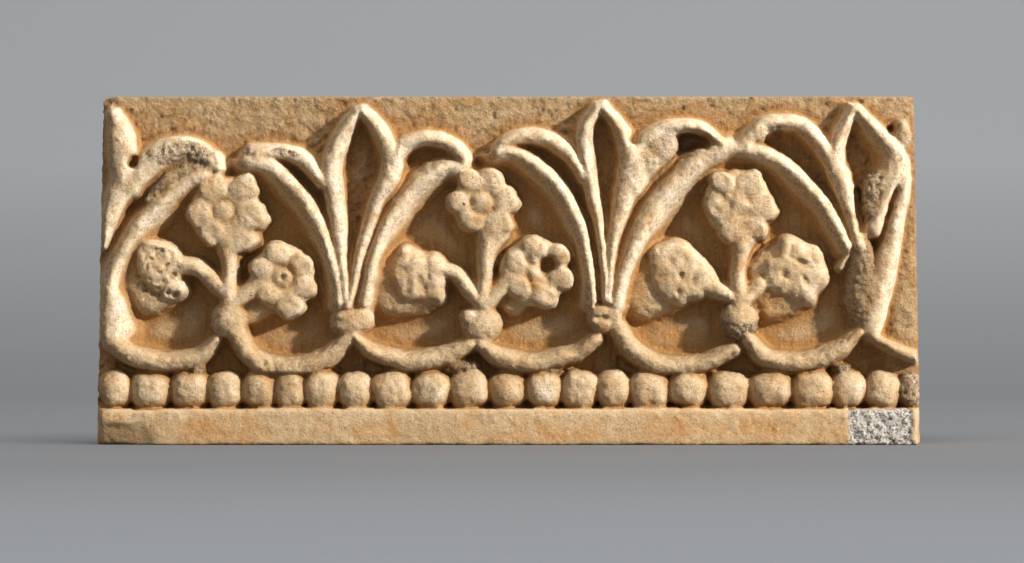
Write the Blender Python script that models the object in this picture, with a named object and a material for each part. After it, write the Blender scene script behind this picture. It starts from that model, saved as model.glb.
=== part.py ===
"""A length of carved stucco frieze, cut square at its ends: palmettes whose side leaves meet as arches,
a spray of three rosettes in each arch, scalloped stems, a row of beads and a plain fillet.

It is one block. The carved face is a sheet of small squares, each corner raised by the carving's height
there, closed behind, thinned to facets and cut to the block's outline. The face looks along -Y."""

import bmesh
import bpy
import numpy as np

# Driving dimensions, in metres
PANEL_WIDTH = 0.664
PANEL_HEIGHT = 0.280
SLAB_DEPTH = 0.040
RELIEF_DEPTH = 0.028
TOP_NARROWING = 0.010
SIDE_DRAFT = 0.008
CORNER_RADIUS = 0.007
FILLET_HEIGHT = 0.029
BEAD_ROW_HEIGHT = 0.029
SHEET_SQUARE = 0.0022
FACETS = 9200
CUT_MARGIN = 0.004

BACK_Y = (SLAB_DEPTH + RELIEF_DEPTH) / 2
GROUND_Y = BACK_Y - SLAB_DEPTH
FRONT_REACH = RELIEF_DEPTH + CUT_MARGIN

# The carving is drawn in millimetres on a panel of this width and height, and follows the real one.
DRAWN_WIDTH = 664.0
DRAWN_HEIGHT = 280.0
DRAWN_SCALE = DRAWN_HEIGHT / PANEL_HEIGHT
FILLET_TOP = FILLET_HEIGHT * DRAWN_SCALE
BEAD_TOP = FILLET_TOP + BEAD_ROW_HEIGHT * DRAWN_SCALE

# Levels of the ground, as shares of the relief's depth
ARCH_FLOOR = 0.0
UPPER_GROUND = 0.16
END_GROUND = 0.45
GROOVE = 0.12

# Widths that a slope takes to fall the whole relief's depth, in drawing millimetres
STEEP = 6.0
MIDDLE = 9.0
GENTLE = 15.0

# Ribs and stems: places along the middle of the crest, as x from the panel's middle, height above the
# underside, and half the crest's width. Palmettes are numbered from the left end, where half of one
# shows. Each one's ribs run from the leaf's tip down to its foot.
LEFT_PALMETTE = {
    "leaf": [(-316, 270, 3), (-312, 256, 7), (-309, 236, 10), (-308, 210, 9), (-315, 194, 7),
             (-326, 160, 2.5)],
    "side": [(-232, 222, 3), (-243, 230, 6), (-260, 236, 8), (-277, 232, 10), (-290, 222, 10),
             (-302, 206, 6)],
    "arch": [(-243, 217, 5), (-267, 204, 5), (-292, 180, 5), (-310, 154, 5), (-319, 128, 5),
             (-318, 112, 8), (-317, 92, 10)],
}
SECOND_PALMETTE = {
    "left": [(-124, 266, 4), (-136, 247, 6), (-142, 225, 7), (-141, 202, 6.5), (-136, 168, 5.5),
             (-130, 111, 2)],
    "right": [(-112, 270, 5), (-101, 252, 5), (-94, 230, 7), (-96, 211, 8), (-106, 193, 5),
              (-119, 152, 3.5), (-128, 111, 2)],
    "left_side": [(-205, 234, 6), (-191, 235, 5), (-175, 233, 5), (-160, 225, 5), (-149, 210, 4)],
    "right_side": [(-93, 230, 6), (-82, 241, 5), (-66, 246, 4.5), (-50, 242, 4.5), (-37, 232, 4.5),
                   (-36, 225, 3.5)],
    "left_arch": [(-209, 228, 7), (-196, 226, 7), (-178, 212, 5), (-160, 191, 4.5), (-147, 166, 4),
                  (-139, 138, 3.2), (-135, 114, 3)],
    "right_arch": [(-41, 222, 3.6), (-55, 220, 4.4), (-78, 204, 4.4), (-96, 180, 4), (-108, 150, 3.5),
                   (-116, 114, 3)],
}
THIRD_PALMETTE = {
    "left": [(71, 272, 3.5), (61, 248, 6), (63, 226, 4.5), (69, 192, 3.5), (75, 159, 2.2), (78, 114, 2)],
    "right": [(79, 273, 4), (90, 255, 4), (97, 236, 7.5), (101, 216, 12), (93, 197, 8), (85, 167, 4.5),
              (81, 136, 2), (81, 114, 1.5)],
    "left_side": [(-9, 236, 3), (0, 244, 4), (14, 247, 4.4), (32, 245, 4.4), (48, 234, 4.4), (60, 214, 3)],
    "right_side": [(97, 226, 6), (105, 238, 7.5), (124, 249, 8), (140, 254, 5.6), (156, 252, 4),
                   (171, 242, 3.6)],
    "left_arch": [(-9, 234, 3), (4, 234, 3.6), (24, 223, 4), (43, 203, 4), (56, 178, 4), (64, 148, 2.6),
                  (68, 114, 2)],
    "right_arch": [(176, 238, 5.6), (156, 228, 7), (134, 210, 7.2), (114, 186, 7), (100, 158, 5.6),
                   (91, 134, 4.6), (87, 112, 4)],
}
RIGHT_PALMETTE = {
    "left": [(277, 271, 5), (266, 248, 4.6), (262, 226, 6.8), (268, 209, 7.7), (275, 186, 5.5),
             (282, 160, 5)],
    "right": [(281, 272, 4.8), (295, 255, 4), (307, 239, 6), (312, 224, 9), (309, 211, 10),
              (301, 191, 5.5), (293, 172, 5.6)],
    "outer": [(318, 215, 3.2), (315, 198, 5), (310, 174, 5.6), (305, 152, 8), (299, 128, 9.6),
              (291, 92, 7)],
    "trunk": [(283, 167, 9), (285, 146, 13), (289, 116, 17), (288, 92, 9)],
    "left_side": [(189, 241, 5.6), (203, 254, 5.5), (221, 258, 4.8), (236, 255, 5), (250, 241, 5.5),
                  (259, 226, 5)],
    "left_arch": [(181, 238, 5), (200, 235, 4.6), (222, 224, 4), (243, 204, 3.8), (260, 183, 4),
                  (272, 160, 3.2)],
}
SCALLOPS = [
    [(-317, 85, 11), (-302, 73, 8.6), (-275, 66, 7.7), (-250, 71, 7), (-234, 85, 2)],
    [(-218, 90, 9), (-208, 72, 7.7), (-188, 62, 9), (-166, 63, 9), (-145, 71, 8.6), (-129, 85, 6)],
    [(-124, 88, 3.5), (-109, 75, 5.6), (-80, 67, 8), (-52, 71, 8.2), (-31, 82, 5.3)],
    [(-23, 82, 5.2), (-6, 71, 8.5), (20, 66, 7.8), (50, 73, 6.2), (71, 86, 4.4)],
    [(88, 94, 9), (100, 76, 8.2), (122, 64, 8.2), (150, 64, 6.5), (182, 77, 4)],
    [(193, 85, 5.4), (207, 70, 7.5), (235, 66, 7.7), (263, 75, 6.8), (282, 91, 3)],
    [(291, 89, 3), (302, 82, 3.8), (316, 75, 5), (328, 71, 5.2)],
]
STEMS = [
    [(-227, 166, 9), (-224, 148, 5.6), (-224, 128, 5.2), (-224, 110, 7)],
    [(-263, 143, 6), (-247, 140, 5), (-230, 124, 6)],
    [(-220, 114, 5.6), (-200, 128, 7)],
    [(-13, 170, 12), (-17, 154, 7), (-19, 132, 4.6), (-20, 111, 6.4)],
    [(-55, 140, 4.8), (-42, 136, 4.8), (-24, 115, 5.2)],
    [(-16, 114, 4.8), (0, 132, 7)],
    [(189, 166, 9.6), (186, 150, 5), (184, 134, 5), (186, 116, 8)],
    [(158, 128, 5.6), (176, 119, 4.8)],
    [(192, 119, 5.6), (202, 128, 6.4)],
]

# Rosettes: x, height and radius of the ring of petals, the turn of its first petal in degrees, and where
# the sloping body behind it runs out
ROSETTES = [
    (-224, 186, 31, 52, (-226, 172)),
    (-281, 138, 29, 0, (-305, 112)),
    (-181, 132, 29, 35, (-206, 108)),
    (-21, 194, 30, 2, (-18, 178)),
    (-73, 134, 28, 5, (-108, 118)),
    (24, 136, 31, 39, (4, 116)),
    (184, 193, 31, 2, (186, 176)),
    (136, 136, 31, 30, (108, 116)),
    (226, 139, 32, 20, (200, 116)),
]
PETALS = 6
PETAL_SHARE = 0.40
BOSS_SHARE = 0.36
KNOBS = [(-224, 100, 16), (-22, 96, 17), (186, 102, 16)]
FEET = [(-126, 99, 18, 11), (77, 102, 14, 11)]

# The beads were cut by eye, so each has a width of its own. The last stretch of the row is broken down.
FIRST_BEAD = -327.6
BEAD_WIDTHS = [23, 31, 30, 26, 26, 23, 26, 26, 30, 30, 30, 30, 27, 27, 26, 30, 30, 31, 35, 31, 26, 27]
BEAD_GAP = 1.0
BROKEN_END = 17
BROKEN_TOP = 0.7


def smooth_line(stations, steps=5):
    """The stations joined by a curve that passes through each of them."""
    points = np.array(stations, float)
    padded = np.vstack([2 * points[0] - points[1], points, 2 * points[-1] - points[-2]])
    line = [points[0]]
    for before, start, end, after in zip(padded, padded[1:], padded[2:], padded[3:]):
        for step in range(1, steps + 1):
            t = step / steps
            line.append(
                0.5 * (2 * start + (end - before) * t
                       + (2 * before - 5 * start + 4 * end - after) * t ** 2
                       + (3 * start - before - 3 * end + after) * t ** 3)
            )
    return np.array(line)


def raise_rib(height, x, z, stations, left_slope, right_slope, crown=0.08, top=1.0):
    """Lifts the ground to a rib with a slightly rounded crest and a slope of its own on either side."""
    line = smooth_line(stations)
    for start, end in zip(line, line[1:]):
        reach = max(start[2], end[2]) + max(left_slope, right_slope)
        near = np.flatnonzero(
            (x > min(start[0], end[0]) - reach) & (x < max(start[0], end[0]) + reach)
            & (z > min(start[1], end[1]) - reach) & (z < max(start[1], end[1]) + reach)
        )
        run_x, run_z = end[:2] - start[:2]
        away_x, away_z = x[near] - start[0], z[near] - start[1]
        share = np.clip((away_x * run_x + away_z * run_z) / (run_x ** 2 + run_z ** 2), 0, 1)
        away_x, away_z = away_x - share * run_x, away_z - share * run_z
        far = np.hypot(away_x, away_z)
        half = start[2] + share * (end[2] - start[2])
        slope = np.where(run_x * away_z > run_z * away_x, left_slope, right_slope)
        rib = top - crown * np.minimum(far / half, 1) ** 2 - np.maximum(far - half, 0) / slope
        height[near] = np.maximum(height[near], rib)


def raise_dome(height, x, z, centre, radii, top=1.0, foot=0.0, square=2.0, flat=3.0):
    """A mound over an ellipse, or over a squarer outline, with a flat top and sides that fall steeply."""
    out = (np.abs((x - centre[0]) / radii[0]) ** square + np.abs((z - centre[1]) / radii[1]) ** square)
    rise = np.clip(1 - out ** (flat / square), 0, None) ** (1 / flat)
    inside = rise > 0
    height[inside] = np.maximum(height[inside], foot + (top - foot) * rise[inside])


def inside_outline(x, z, outline):
    """Which places lie within a closed outline."""
    inside = np.zeros(x.shape, bool)
    for (x0, z0), (x1, z1) in zip(outline, outline[1:] + outline[:1]):
        if z0 == z1:
            continue
        crosses = (z0 > z) != (z1 > z)
        inside ^= crosses & (x < x0 + (z - z0) * (x1 - x0) / (z1 - z0))
    return inside


def lower_arches(height, x, z):
    """The arches are cut to the full depth between the ribs that spring from neighbouring palmettes."""
    springing = [
        (LEFT_PALMETTE["arch"], SECOND_PALMETTE["left_arch"]),
        (SECOND_PALMETTE["right_arch"], THIRD_PALMETTE["left_arch"]),
        (THIRD_PALMETTE["right_arch"], RIGHT_PALMETTE["left_arch"]),
    ]
    for left, right in springing:
        outline = [station[:2] for station in left[::-1]] + [station[:2] for station in right]
        outline += [(outline[-1][0], BEAD_TOP), (outline[0][0], BEAD_TOP)]
        height[inside_outline(x, z, outline)] = ARCH_FLOOR


def raise_rosette(height, x, z, rosette):
    """Petals round a boss, on a sloping body that runs out towards the knob."""
    centre_x, centre_z, radius, turn, (end_x, end_z) = rosette
    body = [(centre_x, centre_z, radius * 0.72), (end_x, end_z, radius * 0.45)]
    raise_rib(height, x, z, body, MIDDLE, MIDDLE, crown=0.1, top=0.72)
    for petal in range(PETALS):
        angle = np.radians(turn + 360 / PETALS * petal)
        out = radius * (1 - PETAL_SHARE)
        place = (centre_x + out * np.cos(angle), centre_z + out * np.sin(angle))
        raise_dome(height, x, z, place, [radius * PETAL_SHARE] * 2, foot=0.4, flat=4)
    raise_dome(height, x, z, (centre_x, centre_z), [radius * BOSS_SHARE] * 2, foot=0.4, flat=4)


def raise_palmettes(height, x, z):
    """Hollow leaves: steep inside, and sloping gently where a rib faces its arch."""
    raise_rib(height, x, z, LEFT_PALMETTE["leaf"], STEEP, STEEP)
    raise_rib(height, x, z, LEFT_PALMETTE["side"], MIDDLE, MIDDLE)
    raise_rib(height, x, z, LEFT_PALMETTE["arch"], GENTLE, STEEP)
    for palmette in (SECOND_PALMETTE, THIRD_PALMETTE, RIGHT_PALMETTE):
        for name, stations in palmette.items():
            left_slope = GENTLE if name == "right_arch" else STEEP
            right_slope = GENTLE if name == "left_arch" else STEEP
            raise_rib(height, x, z, stations, left_slope, right_slope)
    for foot_x, foot_z, half_width, half_height in FEET:
        raise_dome(height, x, z, (foot_x, foot_z), (half_width, half_height), square=3, flat=5)


def raise_sprays(height, x, z):
    for rosette in ROSETTES:
        raise_rosette(height, x, z, rosette)
    for stem in STEMS:
        raise_rib(height, x, z, stem, STEEP, STEEP, crown=0.3, top=0.95)
    for knob_x, knob_z, radius in KNOBS:
        raise_dome(height, x, z, (knob_x, knob_z), (radius, radius))
    for scallop in SCALLOPS:
        raise_rib(height, x, z, scallop, STEEP, MIDDLE)


def raise_beads(height, x, z):
    """Bosses with flat faces, side by side in a groove above the fillet."""
    height[z < BEAD_TOP] = GROOVE
    middle = (FILLET_TOP + BEAD_TOP) / 2
    half_height = (BEAD_TOP - FILLET_TOP) / 2
    left = FIRST_BEAD
    for width in BEAD_WIDTHS + [BROKEN_END]:
        top = BROKEN_TOP if width == BROKEN_END else 1.0
        centre = (left + width / 2, middle)
        raise_dome(height, x, z, centre, (width / 2, half_height), top=top, foot=GROOVE, square=3, flat=5)
        left += width + BEAD_GAP


def carved_height(x, z):
    """The carving's height over the arch floor at each place, as a share of the relief's depth."""
    height = np.full(x.shape, UPPER_GROUND)
    height[x > RIGHT_PALMETTE["outer"][0][0] - 10] = END_GROUND
    lower_arches(height, x, z)
    raise_palmettes(height, x, z)
    raise_sprays(height, x, z)
    raise_beads(height, x, z)
    height[z < FILLET_TOP] = 1.0
    return height


def collection(name):
    made = bpy.data.collections.new(name)
    bpy.context.scene.collection.children.link(made)
    return made


def add_object(name, body, home):
    """A new object from a bmesh, in its collection."""
    mesh = bpy.data.meshes.new(name)
    body.to_mesh(mesh)
    body.free()
    made = bpy.data.objects.new(name, mesh)
    home.objects.link(made)
    return made


def carved_sheet():
    """The carved face, a little larger than the panel on every side, closed by a flat back."""
    wide = PANEL_WIDTH + 2 * CUT_MARGIN
    high = PANEL_HEIGHT + 2 * CUT_MARGIN
    body = bmesh.new()
    bmesh.ops.create_grid(
        body, x_segments=round(wide / SHEET_SQUARE), y_segments=round(high / SHEET_SQUARE), size=0.5
    )
    places = np.array([vert.co for vert in body.verts])
    x = places[:, 0] * wide
    z = places[:, 1] * high + PANEL_HEIGHT / 2
    height = carved_height(x * DRAWN_WIDTH / PANEL_WIDTH, z * DRAWN_HEIGHT / PANEL_HEIGHT)
    y = GROUND_Y - height * RELIEF_DEPTH
    for vert, place in zip(body.verts, zip(x, y, z)):
        vert.co = place
    rim = [edge for edge in body.edges if edge.is_boundary]
    pulled = bmesh.ops.extrude_edge_only(body, edges=rim)["geom"]
    for vert in (item for item in pulled if isinstance(item, bmesh.types.BMVert)):
        vert.co.y = BACK_Y + CUT_MARGIN
    back_rim = [edge for edge in body.edges if edge.is_boundary]
    bmesh.ops.contextual_create(body, geom=back_rim)
    bmesh.ops.recalc_face_normals(body, faces=body.faces)
    return body


def panel_block():
    """The outline that the carving is cut to: flat behind, below and at both ends, which lean in a little
    towards the top and towards the face, and rounded at the top left corner."""
    body = bmesh.new()
    bmesh.ops.create_cube(body, size=1)
    for vert in body.verts:
        side, deep, high = (2 * value for value in vert.co)
        half_width = (PANEL_WIDTH - TOP_NARROWING * (high > 0)) / 2
        vert.co = (side * half_width, BACK_Y if deep > 0 else GROUND_Y, PANEL_HEIGHT * (high > 0))
    front = [face for face in body.faces if face.normal.y < -0.9]
    grown = bmesh.ops.extrude_face_region(body, geom=front)["geom"]
    bmesh.ops.delete(body, geom=front, context="FACES")
    for vert in (item for item in grown if isinstance(item, bmesh.types.BMVert)):
        vert.co.x -= np.sign(vert.co.x) * SIDE_DRAFT * FRONT_REACH / RELIEF_DEPTH
        vert.co.y -= FRONT_REACH
    corner = [
        edge for edge in body.edges
        if all(vert.co.x < 0 and vert.co.z > PANEL_HEIGHT / 2 for vert in edge.verts)
    ]
    bmesh.ops.bevel(body, geom=corner, offset=CORNER_RADIUS, segments=4, profile=0.5, affect="EDGES")
    bmesh.ops.recalc_face_normals(body, faces=body.faces)
    return body


def stucco_material():
    stucco = bpy.data.materials.new("gypsum_stucco")
    stucco.use_nodes = True
    shader = stucco.node_tree.nodes["Principled BSDF"]
    shader.inputs["Base Color"].default_value = (0.60, 0.43, 0.24, 1)
    shader.inputs["Roughness"].default_value = 0.92
    shader.inputs["Metallic"].default_value = 0.0
    return stucco


for old in list(bpy.data.objects):
    bpy.data.objects.remove(old, do_unlink=True)

parts = collection("carved_stucco_panel")
cutters = collection("cutters")

block = add_object("block_outline", panel_block(), cutters)
block.hide_render = True
block.display_type = "WIRE"

panel = add_object("stucco_panel", carved_sheet(), parts)
panel.data.materials.append(stucco_material())
thin = panel.modifiers.new("thin_to_facets", "DECIMATE")
thin.ratio = FACETS / sum(len(face.vertices) - 2 for face in panel.data.polygons)
cut = panel.modifiers.new("cut_to_outline", "BOOLEAN")
cut.operation = "INTERSECT"
cut.object = block
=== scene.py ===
"""A length of carved and weathered gypsum stucco frieze, standing on a pale studio floor."""

import itertools
import math

import bpy
import numpy as np
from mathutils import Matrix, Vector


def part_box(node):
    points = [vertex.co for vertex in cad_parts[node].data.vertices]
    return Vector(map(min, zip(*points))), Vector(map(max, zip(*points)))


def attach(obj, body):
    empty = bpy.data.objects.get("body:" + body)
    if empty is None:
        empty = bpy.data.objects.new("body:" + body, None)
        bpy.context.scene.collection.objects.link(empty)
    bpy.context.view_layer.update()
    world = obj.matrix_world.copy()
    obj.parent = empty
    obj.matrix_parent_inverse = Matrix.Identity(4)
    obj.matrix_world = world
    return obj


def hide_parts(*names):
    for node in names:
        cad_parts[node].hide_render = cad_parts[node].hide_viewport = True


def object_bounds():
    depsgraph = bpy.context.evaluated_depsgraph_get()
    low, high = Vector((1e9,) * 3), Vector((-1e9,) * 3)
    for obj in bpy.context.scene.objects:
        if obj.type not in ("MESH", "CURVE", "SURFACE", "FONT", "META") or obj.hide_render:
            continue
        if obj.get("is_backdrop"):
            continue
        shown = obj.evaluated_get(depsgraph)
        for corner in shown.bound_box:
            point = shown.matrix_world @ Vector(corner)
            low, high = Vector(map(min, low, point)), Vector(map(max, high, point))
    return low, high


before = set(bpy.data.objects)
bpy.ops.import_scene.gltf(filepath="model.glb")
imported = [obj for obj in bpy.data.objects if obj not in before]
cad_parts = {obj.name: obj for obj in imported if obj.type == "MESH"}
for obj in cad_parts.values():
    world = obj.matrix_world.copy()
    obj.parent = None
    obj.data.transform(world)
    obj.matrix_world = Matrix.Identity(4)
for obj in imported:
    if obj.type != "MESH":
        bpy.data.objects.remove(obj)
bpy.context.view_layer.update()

# The block. The stucco was laid as one slab, its ends and edges cut straight with a knife. They lean in
# a little towards the top and towards the face, and are worn round.
MM = 0.001
block_low, block_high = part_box("stucco_panel")
WIDTH = (block_high.x - block_low.x) / MM
HEIGHT = (block_high.z - block_low.z) / MM
BACK = block_high.y / MM
CREST = -BACK
RELIEF = 28.0
FLOOR = CREST + RELIEF
TOP_NARROWING = 10.0
SIDE_DRAFT = 5.0
CORNER_RADIUS = 7.0
SPARE = 4.0

bpy.ops.object.select_all(action="DESELECT")
bpy.ops.mesh.primitive_cube_add(size=1)
block = bpy.context.object
block.name = "block_outline"
for corner in block.data.vertices:
    side, deep, high = (2 * value for value in corner.co)
    half = (WIDTH - TOP_NARROWING * (high > 0)) / 2
    corner.co = (side * half * MM, (BACK if deep > 0 else FLOOR) * MM, HEIGHT * MM * (high > 0))
bpy.ops.object.mode_set(mode="EDIT")
bpy.ops.mesh.select_mode(type="FACE")
bpy.ops.mesh.select_all(action="DESELECT")
bpy.ops.object.mode_set(mode="OBJECT")
for polygon in block.data.polygons:
    polygon.select = polygon.normal.y < -0.9
bpy.ops.object.mode_set(mode="EDIT")
bpy.ops.mesh.extrude_region_move(TRANSFORM_OT_translate={"value": (0, -(RELIEF + SPARE) * MM, 0)})
bpy.ops.object.mode_set(mode="OBJECT")
for corner in block.data.vertices:
    if corner.co.y < (FLOOR - SPARE) * MM:
        corner.co.x -= math.copysign(SIDE_DRAFT * (RELIEF + SPARE) / RELIEF * MM, corner.co.x)
bpy.ops.object.mode_set(mode="EDIT")
bpy.ops.mesh.select_mode(type="EDGE")
bpy.ops.mesh.select_all(action="DESELECT")
bpy.ops.object.mode_set(mode="OBJECT")
for edge in block.data.edges:
    ends = [block.data.vertices[index].co for index in edge.vertices]
    edge.select = all(end.x < 0 and end.z > HEIGHT * MM / 2 for end in ends)
bpy.ops.object.mode_set(mode="EDIT")
bpy.ops.mesh.bevel(offset=CORNER_RADIUS * MM, segments=5)
bpy.ops.object.mode_set(mode="OBJECT")

# The face. It was carved into the damp stucco by eye, so every line wavers a little. It is drawn as the
# height over the floor of the arches, in millimetres, at each corner of a sheet of small squares.
SQUARE = 0.9
columns = round((WIDTH + 2 * SPARE) / SQUARE)
rows = round((HEIGHT + 2 * SPARE) / SQUARE)
column_x = np.linspace(-WIDTH / 2 - SPARE, WIDTH / 2 + SPARE, columns + 1)
row_z = np.linspace(-SPARE, HEIGHT + SPARE, rows + 1)
face_x, face_z = np.meshgrid(column_x, row_z)


def uneven(places, wave, seed):
    """Smooth chance values from -1 to 1 at places on a plane or in space, about a wave apart."""
    cells = np.asarray(places, float) / wave
    cells = cells - cells.reshape(-1, cells.shape[-1]).min(0)
    base = np.floor(cells).astype(int)
    share = cells - base
    share = share * share * (3 - 2 * share)
    lattice = np.random.default_rng(seed).uniform(-1, 1, base.reshape(-1, base.shape[-1]).max(0) + 2)
    total = np.zeros(cells.shape[:-1])
    for corner in itertools.product((0, 1), repeat=cells.shape[-1]):
        weight = np.prod(np.where(np.array(corner) == 1, share, 1 - share), axis=-1)
        total += weight * lattice[tuple(np.moveaxis(base + np.array(corner), -1, 0))]
    return total


face = np.stack([face_x, face_z], axis=-1)
hand_x = face_x + 0.7 * uneven(face, 17, 1) + 0.35 * uneven(face, 6, 2)
hand_z = face_z + 0.7 * uneven(face, 17, 3) + 0.35 * uneven(face, 6, 4)
height = np.zeros(face_x.shape)

# Each form has a surface of its own: how crumbled it is, and how far it is rubbed pale at its crest
grit = np.full(face_x.shape, 0.5)
pale = np.zeros(face_x.shape)
RUBBED = (0.4, 1.0)
PETAL = (0.45, 0.5)
SOILED = (0.6, 0.25)
CRUMBLED = (1.4, 0.6)


def smooth_line(stations, steps=6):
    """The stations joined by a curve that passes through each of them."""
    points = np.array(stations, float)
    padded = np.vstack([2 * points[0] - points[1], points, 2 * points[-1] - points[-2]])
    line = [points[0]]
    for before, start, end, after in zip(padded, padded[1:], padded[2:], padded[3:]):
        for step in range(1, steps + 1):
            t = step / steps
            line.append(
                0.5 * (2 * start + (end - before) * t
                       + (2 * before - 5 * start + 4 * end - after) * t ** 2
                       + (3 * start - before - 3 * end + after) * t ** 3)
            )
    return np.array(line)


def window(low_x, low_z, high_x, high_z):
    """The part of the sheet that holds these places."""
    low_row, high_row = np.searchsorted(row_z, (low_z, high_z))
    low_column, high_column = np.searchsorted(column_x, (low_x, high_x))
    return slice(low_row, high_row + 1), slice(low_column, high_column + 1)


def merged(low, high, blend):
    """The higher of two heights, with their meeting line filled to a soft valley."""
    near = np.maximum(blend - np.abs(low - high), 0) / blend
    return np.maximum(low, high) + near ** 2 * blend / 4


def lay(part, raised, blend, surface):
    """Lays a raised form over part of the face, with its own surface."""
    grit[part] = np.where(raised > height[part], surface[0], grit[part])
    pale[part] = np.where(raised > height[part], surface[1], pale[part])
    height[part] = merged(height[part], raised, blend)


def rib(stations, left_run, right_run, top=RELIEF, foot=3.0, crown=0.42, edge=1.0, surface=RUBBED):
    """Raises a half-round rib, whose sides fall the whole relief over their runs."""
    line = smooth_line(stations)
    reach = line[:, 2].max() + max(left_run, right_run) + foot
    part = window(*(line[:, :2].min(0) - reach), *(line[:, :2].max(0) + reach))
    x, z = hand_x[part], hand_z[part]
    far = np.full(x.shape, np.inf)
    half = np.ones(x.shape)
    run = np.ones(x.shape)
    for start, end in zip(line, line[1:]):
        run_x, run_z = end[:2] - start[:2]
        share = np.clip(((x - start[0]) * run_x + (z - start[1]) * run_z) / (run_x ** 2 + run_z ** 2), 0, 1)
        away_x, away_z = x - start[0] - share * run_x, z - start[1] - share * run_z
        distance = np.hypot(away_x, away_z)
        closer = distance < far
        far[closer] = distance[closer]
        half[closer] = (start[2] + share * (end[2] - start[2]))[closer]
        side = np.where(run_x * away_z > run_z * away_x, left_run, right_run)
        run[closer] = side[closer]
    beyond = far - half
    arc = np.minimum(crown * half, 3.4) * np.minimum(far / half, 1) ** 2
    fall = RELIEF / run * (np.hypot(beyond, edge) + beyond) / 2
    lay(part, top - arc - fall, foot, surface)


def mound(x, z, radius_x, radius_z=None, top=RELIEF, base=0.0, square=2.0, flat=3.0, turn=0.0,
          blend=1.5, lean=(0.0, 0.0), surface=SOILED):
    """Raises a round or squarish mound with a flat or domed top, which may lean to one side."""
    radius_z = radius_z or radius_x
    reach = max(radius_x, radius_z) + 2
    part = window(x - reach, z - reach, x + reach, z + reach)
    away_x, away_z = hand_x[part] - x, hand_z[part] - z
    turned_x = away_x * math.cos(turn) + away_z * math.sin(turn)
    turned_z = away_z * math.cos(turn) - away_x * math.sin(turn)
    out = (np.abs(turned_x / radius_x) ** square + np.abs(turned_z / radius_z) ** square) ** (1 / square)
    rise = np.clip(1 - out ** flat, 0, None) ** (1 / flat)
    raised = base + (top - base) * rise + (lean[0] * away_x + lean[1] * away_z) * rise
    lay(part, np.where(out < 1, raised, -99.0), blend, surface)


def pad(x, z, radius, top=RELIEF, crown=1.4, run=4.5, blend=0.6, surface=PETAL):
    """Raises a round pad with a gently domed face and steep sides, such as a petal."""
    reach = radius + run + 3
    part = window(x - reach, z - reach, x + reach, z + reach)
    far = np.hypot(hand_x[part] - x, hand_z[part] - z) + 1.8 * uneven(face[part] + (x, z), 7, 18)
    beyond = far - radius
    fall = RELIEF / run * (np.hypot(beyond, 0.7) + beyond) / 2
    lay(part, top - crown * (far / radius) ** 2 - fall, blend, surface)


def slab(outline, top, run, crown=1.5, blend=2.0, surface=PETAL):
    """Raises a lump with an irregular outline, a slightly domed face and sloping sides."""
    corners = np.array(outline, float)
    for cut in range(2):
        after = np.roll(corners, -1, axis=0)
        pairs = [0.75 * corners + 0.25 * after, 0.25 * corners + 0.75 * after]
        corners = np.stack(pairs, axis=1).reshape(-1, 2)
    part = window(*(corners.min(0) - run - 6), *(corners.max(0) + run + 6))
    x, z = hand_x[part], hand_z[part]
    beyond = np.full(x.shape, np.inf)
    within = np.zeros(x.shape, bool)
    for start, end in zip(corners, np.roll(corners, -1, axis=0)):
        run_x, run_z = end - start
        share = np.clip(((x - start[0]) * run_x + (z - start[1]) * run_z) / (run_x ** 2 + run_z ** 2), 0, 1)
        beyond = np.minimum(beyond, np.hypot(x - start[0] - share * run_x, z - start[1] - share * run_z))
        if run_z:
            crosses = (start[1] > z) != (end[1] > z)
            within ^= crosses & (x < start[0] + (z - start[1]) * run_x / run_z)
    beyond = np.where(within, -beyond, beyond)
    fall = RELIEF / run * (np.hypot(beyond, 2) + beyond) / 2
    lay(part, top - crown * np.exp(np.minimum(beyond, 0) / 5) - fall, blend, surface)


def hollow(x, z, radius_x, radius_z, depth, turn=0.0, edge=4.0, rough=0.0):
    """Sinks a hollow, with a soft or a sharper edge, as where stucco has crumbled away."""
    reach = max(radius_x, radius_z) * 1.7
    part = window(x - reach, z - reach, x + reach, z + reach)
    away_x, away_z = hand_x[part] - x, hand_z[part] - z
    turned_x = away_x * math.cos(turn) + away_z * math.sin(turn)
    turned_z = away_z * math.cos(turn) - away_x * math.sin(turn)
    out = np.hypot(turned_x / radius_x, turned_z / radius_z)
    out = out + 0.25 * uneven(face[part], 5, 7)
    amount = np.exp(-np.maximum(out, 0) ** edge)
    height[part] -= depth * amount
    grit[part] = np.maximum(grit[part], rough * amount)


# The ground. Above the arches it was roughened with short slanting strokes. Within the arches it was
# cut to the full depth and left smoother, and a shallower strip is left beyond the last palmette.
UPPER_GROUND = 4.5
END_GROUND = 12.6
END_STRIP = 304.0
along_stroke = (face_x * 0.8 + face_z * 0.6) / 3.4
across_stroke = face_z * 0.8 - face_x * 0.6
strokes = uneven(np.stack([along_stroke, across_stroke], axis=-1), 2.8, 14)
height[:] = UPPER_GROUND + 0.5 * uneven(face, 40, 5) + 1.5 * strokes
grit[:] = 0.85

STEEP = 6.0
MIDDLE = 9.0
BROAD = 12.0
GENTLE = 15.0

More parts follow.
